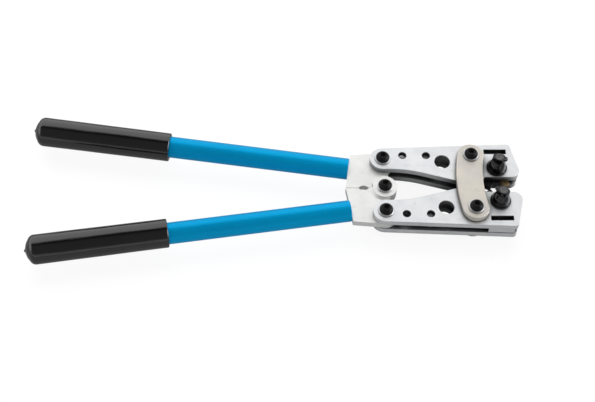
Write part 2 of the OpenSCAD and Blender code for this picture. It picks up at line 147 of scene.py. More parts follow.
def place_camera():
    right, up, backward = camera_axes()
    data = bpy.data.cameras.new("photo_camera")
    data.lens = LENS
    data.sensor_width = SENSOR
    data.sensor_fit = "AUTO"
    camera = bpy.data.objects.new("photo_camera", data)
    place = Matrix((right, up, backward)).transposed().to_4x4()
    place.translation = CAMERA_AIM + CAMERA_REACH * backward
    camera.matrix_world = place
    bpy.context.scene.collection.objects.link(camera)
    bpy.context.scene.camera = camera
    return camera


def photo_place(camera, points):
    """Where 3-D points, an array of N by 3, show in the photograph's frame."""
    place = np.array(camera.matrix_world)
    local = (points - place[:3, 3]) @ place[:3, :3]
    scale = max(PHOTO_W, PHOTO_H) * camera.data.lens / camera.data.sensor_width / -local[:, 2]
    return np.stack([PHOTO_W / 2 + local[:, 0] * scale, PHOTO_H / 2 - local[:, 1] * scale], 1)


def on_surface(camera, name, carrier):
    """The place on a finished piece where a named image point's ray meets it, or the nearest place to the ray."""
    x, y = POINTS[name]
    long_side = max(PHOTO_W, PHOTO_H)
    data = camera.data
    ray = Vector((
        x - PHOTO_W / 2 + data.shift_x * long_side,
        PHOTO_H / 2 - y + data.shift_y * long_side,
        -long_side * data.lens / data.sensor_width,
    ))
    origin = camera.matrix_world.translation
    direction = (camera.matrix_world.to_3x3() @ ray).normalized()
    tree = BVHTree.FromObject(carrier, bpy.context.evaluated_depsgraph_get())
    hit = tree.ray_cast(origin, direction)[0]
    if hit is None:
        reach = (Vector(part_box("centre_pin")[0]) - origin).length
        hit = tree.find_nearest(origin + direction * reach)[0]
    return hit


# ---- Shader recipes ----


def node(tree, kind, inputs, **settings):
    """A shader node. An input that is given as a socket is linked, and any other value is set on it."""
    made = tree.nodes.new(kind)
    for key, value in settings.items():
        setattr(made, key, value)
    for key, value in inputs.items():
        if isinstance(value, bpy.types.NodeSocket):
            tree.links.new(value, made.inputs[key])
        else:
            made.inputs[key].default_value = value
    return made


def recipe(name, colour, roughness, metallic=0.0, **constants):
    """A material's tree, its Principled shader with the constants set, and the object's coordinates."""
    material = bpy.data.materials.new(name)
    material.use_nodes = True
    tree = material.node_tree
    shader = tree.nodes["Principled BSDF"]
    values = {"Base Color": (*colour, 1), "Roughness": roughness, "Metallic": metallic, **constants}
    for key, value in values.items():
        shader.inputs[key].default_value = value
    coords = node(tree, "ShaderNodeTexCoord", {}).outputs["Object"]
    return material, tree, shader, coords


def own_coords(tree):
    """A turned piece's own coordinates, with X along its axis."""
    return node(tree, "ShaderNodeAttribute", {}, attribute_name="own_place").outputs["Vector"]


def cloud(tree, coords, grain, detail=3.0, stretch=(1, 1, 1)):
    """Soft noise whose features are about one grain long, drawn out where the stretch is over 1."""
    scaled = node(tree, "ShaderNodeMapping", {"Vector": coords, "Scale": [1 / s for s in stretch]})
    noise = {"Vector": scaled.outputs[0], "Scale": 1 / grain, "Detail": detail, "Roughness": 0.55}
    return node(tree, "ShaderNodeTexNoise", noise).outputs["Fac"]


def spread(tree, value, low, high, start=0.3, stop=0.7):
    """A value that runs from low to high as its source runs from start to stop."""
    limits = {"Value": value, "From Min": start, "From Max": stop, "To Min": low, "To Max": high}
    return node(tree, "ShaderNodeMapRange", limits).outputs[0]


def tinted(tree, share, first, second):
    """The first colour, with a share of the second one."""
    mix = node(tree, "ShaderNodeMix", {}, data_type="RGBA")
    for index, value in ((0, share), (6, first), (7, second)):
        if isinstance(value, bpy.types.NodeSocket):
            tree.links.new(value, mix.inputs[index])
        else:
            mix.inputs[index].default_value = value if index == 0 else (*value, 1)
    return mix.outputs[2]


def relief(tree, shader, *layers):
    """Bumps from layers of (height, depth in metres), each laid over the one before."""
    normal = None
    for height, depth in layers:
        inputs = {"Height": height, "Distance": depth, "Strength": 1.0}
        if normal is not None:
            inputs["Normal"] = normal
        normal = node(tree, "ShaderNodeBump", inputs).outputs["Normal"]
    tree.links.new(normal, shader.inputs["Normal"])


def use(tree, shader, **sockets):
    """Links sockets to the shader's inputs of those names."""
    for key, socket in sockets.items():
        tree.links.new(socket, shader.inputs[key.replace("_", " ")])


def painted_cavity_shade(tree, tone, edge_share, reach, open_from, open_to):
    """A tone with painted shade. It turns nearly black in gaps, in holes and beside raised parts, wherever the
    occlusion test finds the place closed in. It is greyer on upright edges, partly for a sheared-edge finish and partly
    as painted shade. The last numbers are how far a gap reaches, and how open a place is where the painted shade is
    full and where it ends."""
    open_share = node(tree, "ShaderNodeAmbientOcclusion", {"Distance": reach}, samples=12).outputs["AO"]
    normal = node(tree, "ShaderNodeNewGeometry", {}).outputs["Normal"]
    upright = node(tree, "ShaderNodeVectorMath", {0: normal, 1: (0, 0, 1)}, operation="DOT_PRODUCT").outputs["Value"]
    upright = node(tree, "ShaderNodeMath", {0: upright}, operation="ABSOLUTE").outputs[0]
    # Painted shade: upright edges take a share of grey. This stands partly for a sheared-edge finish and partly for the
    # shade on sides that face away from the light.
    edge_shade_tone = tinted(tree, spread(tree, upright, edge_share, 0, 0.3, 0.8), tone, (0.1, 0.1, 0.1))
    # Painted shade: places that the occlusion test finds closed in are tinted nearly black. These are gaps, holes and
    # places beside raised parts.
    return tinted(tree, spread(tree, open_share, 0.97, 0, open_from, open_to), edge_shade_tone, (0.012, 0.012, 0.013))


def zinc_plate(name, colour, shade, rough=(0.34, 0.48), cavity_shade=(30 * MM, 0.34, 0.74)):
    """Satin zinc plating: clouded, faintly streaked along the tool, with shallow waves and a fine grain, and painted
    shade in gaps, in holes and on upright edges.
    """
    material, tree, shader, coords = recipe(name, colour, rough[0], 0.5)
    clouds = cloud(tree, coords, 14 * MM)
    streaks = cloud(tree, coords, 2.2 * MM, stretch=(9, 1, 1))
    marks = cloud(tree, coords, 5 * MM, detail=6)
    tone = tinted(tree, spread(tree, clouds, 0, 1, 0.35, 0.7), colour, shade)
    dark = tuple(0.72 * part for part in shade)
    tone = tinted(tree, spread(tree, marks, 0, 0.5, 0.6, 0.78), tone, dark)
    # The base colour carries painted shade in gaps, in holes and on upright edges.
    use(tree, shader, Base_Color=painted_cavity_shade(tree, tone, 0.12, *cavity_shade), Roughness=spread(tree, streaks, *rough))
    grain = cloud(tree, coords, 0.35 * MM, detail=2)
    relief(tree, shader, (clouds, 0.12 * MM), (marks, 0.03 * MM), (grain, 0.006 * MM))
    return material


def bright_steel():
    """Turned bright steel: fine rings of tool marks are left to the roughness."""
    material, tree, shader, coords = recipe("bright_steel", (0.62, 0.63, 0.65), 0.3, 1.0)
    marks = cloud(tree, coords, 1.2 * MM)
    use(tree, shader, Base_Color=tinted(tree, spread(tree, marks, 0, 0.6), (0.72, 0.73, 0.74), (0.5, 0.5, 0.51)),
        Roughness=spread(tree, marks, 0.24, 0.4))
    relief(tree, shader, (marks, 0.01 * MM))
    return material


def blued_steel(tint_place, tint_reach):
    """Hardened die steel: blue-black scale, let down to straw and brown round one place."""
    material, tree, shader, coords = recipe("blued_steel", (0.03, 0.028, 0.03), 0.38, 0.8)
    scale = cloud(tree, coords, 2.5 * MM, detail=5)
    away = node(tree, "ShaderNodeVectorMath", {0: coords, 1: tint_place}, operation="DISTANCE").outputs["Value"]
    straw = tinted(tree, spread(tree, scale, 0, 1), (0.42, 0.3, 0.15), (0.18, 0.115, 0.05))
    black = tinted(tree, spread(tree, scale, 0, 1), (0.035, 0.034, 0.038), (0.012, 0.012, 0.014))
    share = spread(tree, away, 1, 0, 0.45 * tint_reach, tint_reach)
    use(tree, shader, Base_Color=tinted(tree, share, black, straw), Roughness=spread(tree, scale, 0.3, 0.5))
    relief(tree, shader, (scale, 0.02 * MM))
    return material


def black_oxide():
    """Black screws: a matt oxide, rubbed a little lighter in places."""
    low_gloss = {"Specular IOR Level": 0.14}
    material, tree, shader, coords = recipe("black_screw", (0.006, 0.006, 0.007), 0.36, 0.0, **low_gloss)
    rub = cloud(tree, coords, 1.6 * MM, detail=5)
    use(tree, shader, Base_Color=tinted(tree, spread(tree, rub, 0, 1), (0.004, 0.004, 0.005), (0.014, 0.013, 0.014)),
        Roughness=spread(tree, rub, 0.28, 0.44))
    relief(tree, shader, (rub, 0.015 * MM))
    return material


def blue_paint():
    """Sprayed satin paint with a fine orange peel and a slight change of shade along the tube."""
    low_gloss = {"Specular IOR Level": 0.08}
    material, tree, shader = recipe("blue_paint", (0.0, 0.36, 0.7), 0.36, 0.3, **low_gloss)[:3]
    own = own_coords(tree)
    patches = cloud(tree, own, 20 * MM, stretch=(3, 1, 1))
    peel = cloud(tree, own, 1.1 * MM, detail=2)
    dust = cloud(tree, own, 3 * MM, detail=6)
    use(tree, shader, Base_Color=tinted(tree, spread(tree, patches, 0, 1), (0.0, 0.37, 0.72), (0.0, 0.345, 0.68)),
        Roughness=spread(tree, dust, 0.3, 0.4))
    relief(tree, shader, (peel, 0.02 * MM))
    return material


def dipped_vinyl():
    """Glossy dipped vinyl: nearly black, with long shallow runs and a faint skin."""
    material, tree, shader = recipe("black_grip", (0.003, 0.003, 0.004), 0.1, 0.0, IOR=1.75)[:3]
    own = own_coords(tree)
    runs = cloud(tree, own, 9 * MM, stretch=(6, 1, 1))
    skin_grain = cloud(tree, own, 1.4 * MM, detail=3)
    tone = tinted(tree, spread(tree, runs, 0, 1), (0.0025, 0.0025, 0.003), (0.005, 0.005, 0.006))
    use(tree, shader, Base_Color=tone, Roughness=spread(tree, skin_grain, 0.08, 0.16))
    relief(tree, shader, (runs, 0.25 * MM), (skin_grain, 0.008 * MM))
    return material


def lacquered_knob():
    """Thick glossy black lacquer, rubbed matt on the crown, which the height along the knob's axis tells."""
    material, tree, shader, coords = recipe("black_knob", (0.002, 0.002, 0.0025), 0.08, 0.0, IOR=1.6)
    height = node(tree, "ShaderNodeSeparateXYZ", {0: own_coords(tree)}).outputs["X"]
    wear = cloud(tree, coords, 1.5 * MM, detail=4)
    share = spread(tree, height, 0, 1, *CROWN_WEAR)
    rubbed = {0: share, 1: spread(tree, wear, 0.45, 0.65)}
    rubbed = node(tree, "ShaderNodeMath", rubbed, operation="MULTIPLY").outputs[0]
    use(tree, shader, Roughness=node(tree, "ShaderNodeMath", {0: rubbed, 1: 0.07}, operation="MAXIMUM").outputs[0])
    relief(tree, shader, (wear, 0.006 * MM))
    return material


def moulded(name, colour, rough):
    """Moulded plastic with a fine pebble."""
    material, tree, shader, coords = recipe(name, colour, rough[0], 0.0, IOR=1.5)
    pebble = cloud(tree, coords, 0.6 * MM, detail=4)
    lighter = tuple(1.6 * part for part in colour)
    use(tree, shader, Base_Color=tinted(tree, spread(tree, pebble, 0, 1), colour, lighter),
        Roughness=spread(tree, pebble, *rough))
    relief(tree, shader, (pebble, 0.006 * MM))
    return material


# ---- Shapes ----


def fillet(corners, steps=5):
    """A profile through corners of (r, h, fillet radius). A corner with a radius becomes an arc that touches both
    its sides: the arc's points turn evenly about its centre from one touching point to the other."""
    points = []
    for i, (r, h, radius) in enumerate(corners):
        corner = np.array((r, h), float)
        if radius == 0:
            points.append(corner)
            continue
        before = np.array(corners[i - 1][:2]) - corner
        after = np.array(corners[(i + 1) % len(corners)][:2]) - corner
        before, after = before / np.linalg.norm(before), after / np.linalg.norm(after)
        half = math.acos(np.clip(before @ after, -1, 1)) / 2
        centre = corner + (before + after) / np.linalg.norm(before + after) * radius / math.sin(half)
        first = corner + before * radius / math.tan(half) - centre
        last = corner + after * radius / math.tan(half) - centre
        sweep = math.pi - 2 * half
        share = np.linspace(0, 1, steps + 1)[:, None]
        arc = (np.sin((1 - share) * sweep) * first + np.sin(share * sweep) * last) / math.sin(sweep)
        points.extend(centre + arc)
    return np.array(points)


def lathe(profile, outline=1.0, count=96):
    """Rings about an axis: a profile point (r, h) becomes the ring (h, r f cos a, r f sin a) over all angles a,
    where f is 1 for a circle, or an outline's radius at each angle."""
    angle = np.arange(count) * 2 * math.pi / count
    reach = profile[:, :1] * (outline * np.ones(count))
    along = np.repeat(profile[:, 1:], count, 1)
    return np.stack([along, reach * np.cos(angle), reach * np.sin(angle)], -1)


def frame_about(axis):
    """Rotation whose first column is the axis and whose second one lies level where it can."""
    axis = np.array(axis, float) / np.linalg.norm(axis)
    side = np.cross((0.0, 0.0, 1.0), axis) if abs(axis[2]) < 0.9 else np.array((1.0, 0.0, 0.0))
    side = side / np.linalg.norm(side)
    return np.stack([axis, side, np.cross(axis, side)], 1)


class Skin:
    """A mesh that is gathered from stacks of rings, with each point's own coordinates kept beside its place."""

    def __init__(self):
        self.places, self.own, self.faces, self.size = [], [], [], 0

    def add(self, rings, at, axis=(0, 0, 1), loop=False):
        """Rings of rows by points by 3, in own coordinates. Quads join each ring to the next one. The stack is
        closed by fans at its first and last ring, or its last ring is joined to its first."""
        rows, count = rings.shape[:2]
        own = rings.reshape(-1, 3)
        index = np.arange(rows * count).reshape(rows, count)
        below, above = (index, np.roll(index, -1, 0)) if loop else (index[:-1], index[1:])
        quads = np.stack([below, np.roll(below, -1, 1), np.roll(above, -1, 1), above], -1).reshape(-1, 4)
        faces = quads.tolist()
        if not loop:
            own = np.vstack([own, rings[[0, -1]].mean(1)])
            start, stop = np.full(count, len(own) - 2), np.full(count, len(own) - 1)
            faces += np.stack([np.roll(index[0], -1), index[0], start], 1).tolist()
            faces += np.stack([index[-1], np.roll(index[-1], -1), stop], 1).tolist()
        self.faces += [[i + self.size for i in face] for face in faces]
        self.places.append(own @ frame_about(axis).T + np.array(at, float))
        self.own.append(own)
        self.size += len(own)

    def finish(self, name):
        mesh = bpy.data.meshes.new(name)
        mesh.from_pydata(np.vstack(self.places).tolist(), [], self.faces)
        attribute = mesh.attributes.new("own_place", "FLOAT_VECTOR", "POINT")
        attribute.data.foreach_set("vector", np.vstack(self.own).astype(np.float32).ravel())
        return dressed(name, mesh)


def dressed(name, mesh):
    """An object for a finished mesh, shaded smooth. Its normals are made to follow its large faces only when it is
    installed.
    """
    mesh.polygons.foreach_set("use_smooth", np.ones(len(mesh.polygons), bool))
    piece = bpy.data.objects.new(name, mesh)
    bpy.context.scene.collection.objects.link(piece)
    return piece


def weigh_normals(piece):
    modifier = piece.modifiers.new("flat_faces", "WEIGHTED_NORMAL")
    modifier.weight = 100
    modifier.keep_sharp = True


def softened(name, source, radius, segments=3):
    """Copy of a CAD node: doubles merged, coplanar triangles joined, and every sharp edge rounded."""
    merge_reach = 0.002 * MM
    mesh = NODES[source].data.copy()
    mesh.name = name
    shape = bmesh.new()
    shape.from_mesh(mesh)
    bmesh.ops.remove_doubles(shape, verts=shape.verts, dist=merge_reach)
    bmesh.ops.dissolve_limit(shape, angle_limit=math.radians(0.5), verts=shape.verts, edges=shape.edges)
    shape.to_mesh(mesh)
    shape.free()
    piece = dressed(name, mesh)
    bevel = piece.modifiers.new("rounded_edges", "BEVEL")
    bevel.width = radius
    bevel.segments = segments
    bevel.limit_method = "ANGLE"
    bevel.angle_limit = math.radians(35)
    bevel.miter_outer = "MITER_ARC"
    return piece


def install(piece, source, material, stretched=None):
    """The piece takes a CAD node's place, body and material slot. A stretched one is given the node that holds its
    other end, and its lowest and highest points. Only whether these are given counts: its place is baked into its mesh
    and it rides no body."""
    weigh_normals(piece)
    piece.data.materials.clear()
    piece.data.materials.append(material)
    if stretched is None:
        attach(piece, NODES[source]["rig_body"])
    else:
        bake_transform(piece)
    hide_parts(source)
    return piece


def long_axis(source):
    """A straight round node's end nearest the nose, the direction from there to its other end, and its length."""
    mesh = NODES[source].data
    places = np.zeros(len(mesh.vertices) * 3)
    mesh.vertices.foreach_get("co", places)
    places = places.reshape(-1, 3)
    corners = np.unique(np.round(places, 6), axis=0)
    middle = (corners.min(0) + corners.max(0)) / 2
    direction = np.linalg.svd(corners - corners.mean(0), full_matrices=False)[2][0]
    direction = direction * -np.sign(direction[0])
    direction[2] = 0
    direction = direction / np.linalg.norm(direction)
    along = (corners - middle) @ direction
    centre = middle + direction * (along.min() + along.max()) / 2
    return centre - direction * np.ptp(along) / 2, direction, np.ptp(along)


def upright_axis(source):
    """Middle of an upright round node in X and Y, and its lowest and highest Z."""
    low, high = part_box(source)
    return (low.x + high.x) / 2, (low.y + high.y) / 2, low.z, high.z


# ---- Handles ----

TUBE_R = 8.25 * MM
TUBE_WALL = 1.6 * MM
GRIP_R = 11.3 * MM
MOUTH_R = 11 * MM
GRIP_CONE = 5.6 * MM
SHOULDER_R = 5 * MM
DOME_R = 5.6 * MM
NIPPLE_R = 1.2 * MM
TIP_SHORT = 0.12 * MM    # keeps the nipple inside the CAD box
DENT = 0.0035            # share of the radius


def handle_tube(side):
    """Painted tube: a closed loop of its outer and inner walls with rounded ends."""
    source = f"{side}_handle_tube"
    start, direction, length = long_axis(source)
    bore_r, edge = TUBE_R - TUBE_WALL, 0.5 * MM
    stations = np.linspace(0, length, 40)[1:-1]
    outer = np.stack([np.full(38, TUBE_R), stations], 1)
    profile = np.vstack([
        fillet([(bore_r, length, 0), (bore_r, 0, edge), (TUBE_R, 0, edge), (TUBE_R, length, 0)])[1:-1],
        outer,
        fillet([(TUBE_R, 0, 0), (TUBE_R, length, edge), (bore_r, length, edge), (bore_r, 0, 0)])[1:-1],
    ])
    skin = Skin()
    skin.add(lathe(profile), start, direction, loop=True)
    return install(skin.finish(f"{side}_blue_tube"), source, MATERIALS["blue_paint"])


def grip(side, phase):
    """Dipped sleeve: its profile runs from the bore's floor out of the mouth and back over the outside to the
    cone and nipple. The outside is dented inwards by slow waves along and round it."""
    source = f"{side}_grip"
    start, direction, length = long_axis(source)
    tube_start, tube_length = long_axis(f"{side}_handle_tube")[::2]
    floor_h = tube_length - np.linalg.norm(start - tube_start)
    cone_h = length - GRIP_CONE
    lip = 1.0 * MM
    bore = fillet([
        (1 * MM, floor_h, 0), (TUBE_R, floor_h, 0), (TUBE_R, 0, 0.3 * MM), (MOUTH_R, 0, lip), (MOUTH_R, cone_h, 0),
    ])[:-1]
    stations = np.linspace(lip * 3, cone_h - 1.2 * SHOULDER_R, 60)
    outer = np.stack([np.linspace(MOUTH_R, GRIP_R, 60), stations], 1)
    tip = fillet([
        (GRIP_R, 0, 0), (GRIP_R, cone_h, SHOULDER_R), (DOME_R, length - 2.1 * MM, 8 * MM),
        (NIPPLE_R, length - 0.8 * MM, 0.3 * MM), (0.6 * NIPPLE_R, length - TIP_SHORT, 0.25 * MM),
        (0.1 * MM, length - TIP_SHORT, 0),
    ], steps=9)[1:]
    rings = lathe(np.vstack([bore, outer, tip]))
    along = rings[..., 0]
    angle = np.arctan2(rings[..., 2], rings[..., 1])
    radius = np.hypot(rings[..., 1], rings[..., 2])
    wave = np.sin(along / (17 * MM) + phase + np.sin(angle * 2 + phase)) + np.sin(along / (7.3 * MM) + 3 * angle)
    ends = np.clip(along / (6 * MM), 0, 1) * np.clip((length - along) / GRIP_CONE, 0, 1)
    dent = 1 - (radius > TUBE_R + 0.5 * MM) * ends * DENT * (1 + wave / 2)
    rings[..., 1:] *= dent[..., None]
    skin = Skin()
    skin.add(rings, start, direction)
    return install(skin.finish(f"{side}_dipped_grip"), source, MATERIALS["black_grip"])


# ---- Fasteners ----

HEAD_R = 5.25 * MM
HEAD_H = 3.3 * MM
SHANK_R = 2.9 * MM
SHANK_L = 4.0 * MM
SOCKET_FLATS = 4 * MM
WASHER_R = 6 * MM
WASHER_BORE_R = 3.2 * MM
WASHER_T = 1.6 * MM
PINS_UNDER = {
    "centre": ("centre_pin",),
    "lower_rear": ("lower_rear_pin",),
    "upper_rear": ("upper_rear_pin",),
    "link": ("lower_link_pin", "upper_link_pin"),
}


def hexagon(count):
    """Outline of a hexagon one unit across its flats: half a unit over the cosine of the angle from a flat."""
    angle = np.arange(count) * 2 * math.pi / count
    return 0.5 / np.cos((angle + math.pi / 6) % (math.pi / 3) - math.pi / 6)


def button_head():
    """Rings of a button head screw, from the foot of its shank over the dome to the floor of its socket. The
    dome's height falls as the square of the distance from the axis, and the socket's rings are hexagons."""
    count = 96
    mouth = 0.5 * SOCKET_FLATS / math.cos(math.pi / 6) + 0.35 * MM
    rim_h, socket_floor = 0.6 * MM, 1.3 * MM
    shank = fillet([(0.4 * MM, -SHANK_L, 0), (SHANK_R, -SHANK_L, 0.5 * MM), (SHANK_R, 0, 0.2 * MM),
                    (HEAD_R, 0, 0.25 * MM), (HEAD_R, rim_h, 0)])[:-1]
    reach = np.linspace(HEAD_R, mouth, 14)
    dome = np.stack([reach, rim_h + (HEAD_H - rim_h) * (1 - ((reach - mouth) / (HEAD_R - mouth)) ** 2)], 1)
    edge = lathe(np.array([(SOCKET_FLATS + 0.3 * MM, HEAD_H - 0.12 * MM)]), hexagon(count))
    wall = np.stack([np.full(4, SOCKET_FLATS), np.linspace(HEAD_H - 0.35 * MM, socket_floor, 4)], 1)
    floor = np.array([(0.9 * SOCKET_FLATS, socket_floor - 0.1 * MM), (0.3 * SOCKET_FLATS, socket_floor - 0.5 * MM)])
    outside, socket = np.vstack([shank, dome]), np.vstack([wall, floor])
    return np.vstack([lathe(outside, count=count), edge, lathe(socket, hexagon(count))])


def washer_profile():
    edge = 0.35 * MM
    return fillet([
        (WASHER_BORE_R, 0, edge), (WASHER_R, 0, edge), (WASHER_R, WASHER_T, edge), (WASHER_BORE_R, WASHER_T, edge),
    ])


def fastenings(stack):
    """The screws and washers on both ends of a stack's pins."""
    screws, washers = Skin(), Skin()
    for pin in PINS_UNDER[stack]:
        x, y, low, high = upright_axis(pin)
        for face, way in ((high, 1), (low, -1)):
            screws.add(button_head(), (x, y, face + way * WASHER_T), (0, 0, way))
            washers.add(lathe(washer_profile()), (x, y, face), (0, 0, way), loop=True)
    install(screws.finish(f"{stack}_button_screws"), f"{stack}_screws", MATERIALS["black_screw"])
    install(washers.finish(f"{stack}_flat_washers"), f"{stack}_washers", MATERIALS["bright_steel"])


# ---- Dies and knobs ----

AXLE_R = 4 * MM
SPINDLE_R = 2.3 * MM
GROOVE_R = 3.2 * MM
TAIL = 1 * MM
RING_T = 0.8 * MM
SEAT_R = 7.9 * MM
SEAT_H = 1.6 * MM
COLLAR_R = 7.1 * MM
COLLAR_H = 2.2 * MM
BELL_H = 5.4 * MM
BODY_TOP_R = 5 * MM
BELL_FOOT_R = 7 * MM
BODY_EDGE_R = 0.35 * MM
CROWN_NARROW = 0.68
CROWN_WEAR = (14.2 * MM, 14.9 * MM)
CAP_R = 3.2 * MM
POINTER_REACH = 6.5 * MM
POINTER_W = 3.6 * MM
POINTER_H = 2 * MM
POINTER_DROP = 0.3 * MM
LOWER_TURN = math.radians(155)


def die_axle(side):
    """Journal with the ring's groove at its tail and the thinner spindle above the jaw."""
    source = f"{side}_die_axle"
    x, y, low, high = upright_axis(source)
    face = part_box(f"{side}_jaw_front_plate")[1].z - low
    groove = TAIL + RING_T
    top = high - low
    profile = fillet([
        (0.5 * MM, 0, 0), (AXLE_R, 0, 0.3 * MM), (AXLE_R, TAIL, 0.05 * MM), (GROOVE_R, TAIL, 0.05 * MM),
        (GROOVE_R, groove, 0.05 * MM), (AXLE_R, groove, 0.05 * MM), (AXLE_R, face, 0.2 * MM),
        (SPINDLE_R, face, 0.2 * MM), (SPINDLE_R, top, 0.2 * MM), (1.5 * MM, top, 0.1 * MM), (1.5 * MM, top - 5 * MM, 0),
    ])
    skin = Skin()
    skin.add(lathe(profile), (x, y, low))
    return install(skin.finish(f"{side}_turned_axle"), source, MATERIALS["blued_steel"])


def ring(name, source, bore_r, outer_r, height, edge, material):
    """Flat or tall ring standing on a node's lowest Z, with rounded edges."""
    x, y, low = upright_axis(source)[:3]
    profile = fillet([(bore_r, 0, edge), (outer_r, 0, edge), (outer_r, height, edge), (bore_r, height, edge)])
    skin = Skin()
    skin.add(lathe(profile), (x, y, low), loop=True)
    return install(skin.finish(name), source, MATERIALS[material])


def pointer_outline(body, turn):
    """Outline of a body, given as its radius at even angles, with a rounded bar pointing one way: at each angle
    from the bar's middle line, the farther of the body's radius and where a ray leaves the bar, blended so that
    the corner between is soft."""
    away = (np.arange(len(body)) * 2 * math.pi / len(body) - turn + math.pi) % (2 * math.pi) - math.pi
    half, tip = POINTER_W / 2, POINTER_REACH - POINTER_W / 2
    across = np.abs(np.sin(away)) * tip
    rounded = tip * np.cos(away) + np.sqrt(np.clip(half ** 2 - across ** 2, 0, None))
    bar = np.where(across < half, rounded, half / np.maximum(np.abs(np.sin(away)), 0.05))
    bar = np.where(np.cos(away) > 0, np.minimum(bar, POINTER_REACH), 0)
    blend = 24.0
    return (body ** blend + bar ** blend) ** (1 / blend)


def knob(side, turn):
    """Pull and turn knob: a collar, a bell whose radius falls as a bell curve of the height, and an oval crown
    with its pointer. A ring is a circle at the foot, and above the bell it is flattened into an oval whose long way
    is the pointer's: its radius is that of the bell over the length of (cosine, sine over the narrowness). Its
    bore and spring chamber are cut in."""
    source = f"{side}_knob"
    x, y, low, high = upright_axis(source)
    count, top = 144, high - low
    bore_r, chamber_h, shoulder = SPINDLE_R + 0.05 * MM, COLLAR_H + 2.4 * MM, top - BODY_EDGE_R
    pointer_foot, pointer_top = top - POINTER_DROP - POINTER_H, top - POINTER_DROP
    away = np.arange(count) * 2 * math.pi / count - turn

    def outline(height):
        bell = BODY_TOP_R + (BELL_FOOT_R - BODY_TOP_R) * math.exp(-((height - COLLAR_H) / BELL_H) ** 2)
        over = max(height - shoulder, 0)
        crown = BODY_EDGE_R - math.sqrt(max(BODY_EDGE_R ** 2 - over ** 2, 0))
        share = min(max((height - 0.4 * top) / (0.35 * top), 0), 1)
        narrow = 1 - (1 - CROWN_NARROW) * share ** 2 * (3 - 2 * share)
        return (bell - crown) / np.sqrt(np.cos(away) ** 2 + (np.sin(away) / narrow) ** 2)

    def storey(heights, pointed=False):
        """Rings at the heights, as plain outlines or with the pointer, whose edges are drawn in at both ends."""
        rings = []
        for height in heights:
            body = outline(height)
            if pointed:
                depth = min(height - pointer_foot, pointer_top - height)
                inset = 0.45 * MM * max(1 - depth / (0.4 * MM), 0) ** 2
                body = np.maximum(pointer_outline(body, turn) - inset, body)
            rings.append(lathe(np.array([(1.0, height)]), body, count))
        return rings

    collar = fillet([
        (CAP_R, chamber_h, 0), (bore_r, chamber_h, 0), (bore_r, 0, 0), (COLLAR_R, 0, 0.2 * MM),
        (COLLAR_R, COLLAR_H - 0.5 * MM, 0.6 * MM), (BELL_FOOT_R - 0.9 * MM, COLLAR_H - 0.2 * MM, 0),
    ], steps=9)
    rim = [(CAP_R, top - 0.1 * MM), (CAP_R, chamber_h + 0.01 * MM)]
    skin = Skin()
    skin.add(np.vstack([
        lathe(collar, count=count), *storey(np.linspace(COLLAR_H + 0.05 * MM, pointer_foot - 0.05 * MM, 24)),
        *storey(np.linspace(pointer_foot, pointer_top, 9), True), *storey(np.linspace(pointer_top + 0.03 * MM, top, 5)),
        lathe(np.array([(CAP_R + 0.1 * MM, top)]), count=count), lathe(np.array(rim), count=count),
    ]), (x, y, low), loop=True)
    return install(skin.finish(f"{side}_pull_knob"), source, MATERIALS["black_knob"])


def knob_cap(side):
    """Cap in the knob's top, with a shallow dish: its height falls towards the middle as a cosine."""
    source = f"{side}_knob_cap"
    x, y, low, high = upright_axis(source)
    top, dish = high - low, 0.35 * MM
    side_wall = fillet([(0.3 * MM, 0, 0), (CAP_R, 0, 0.2 * MM), (CAP_R, top, 0.3 * MM), (0.8 * CAP_R, top, 0)])
    reach = np.linspace(0.8, 0.08, 10)[:, None]
    bowl = np.hstack([reach * CAP_R, top - dish * (0.5 + 0.5 * np.cos(reach / 0.8 * math.pi))])
    skin = Skin()
    skin.add(lathe(np.vstack([side_wall[:-1], bowl])), (x, y, low))
    return install(skin.finish(f"{side}_dished_cap"), source, MATERIALS["knob_cap"])


def knob_spring(side):
    """Compression spring: a circle of wire carried along a helix whose pitch is nearly closed at both ends."""
    source = f"{side}_knob_spring"
    low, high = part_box(source)
    wire_r, coil_r, turns, steps = 0.3 * MM, 2.7 * MM, 5.5, 200
    room = high.z - low.z - 2 * wire_r
    share = np.linspace(0, 1, steps)
    angle = share * turns * 2 * math.pi
    height = wire_r + room * (share - 0.12 * np.sin(share * 2 * math.pi))
    radial = np.stack([np.zeros(steps), np.cos(angle), np.sin(angle)], 1)
    path = coil_r * radial + height[:, None] * np.array((1.0, 0, 0))
    tangent = np.gradient(path, axis=0)
    tangent /= np.linalg.norm(tangent, axis=1, keepdims=True)
    upward = np.cross(radial, tangent)
    turn = np.arange(12) * 2 * math.pi / 12
    rings = path[:, None] + wire_r * (np.cos(turn)[:, None] * radial[:, None] - np.sin(turn)[:, None] * upward[:, None])
    skin = Skin()
    foot = Vector(((low.x + high.x) / 2, (low.y + high.y) / 2, low.z))
    skin.add(rings, foot)
    ends = (f"{side}_spindle_screw", foot, foot + Vector((0, 0, high.z - low.z)))
    return install(skin.finish(f"{side}_coil_spring"), source, MATERIALS["bright_steel"], ends)


# ---- Studio ----

SOFTBOX_LIGHT = 2.2


def softbox(name, place, size, radiance):
    """Square area lamp that faces the tool. Its power is its radiance times its area and pi. Mirror rays pass
    through it and meet the surroundings, which hold its image."""
    data = bpy.data.lights.new(name, "AREA")
    data.shape = "RECTANGLE"
    data.size, data.size_y = size
    data.energy = radiance * size[0] * size[1] * math.pi
    lamp = bpy.data.objects.new(name, data)
    lamp.location = place
    lamp.rotation_euler = (-Vector(place)).to_track_quat("-Z", "Y").to_euler()
    lamp.visible_glossy = False
    bpy.context.scene.collection.objects.link(lamp)


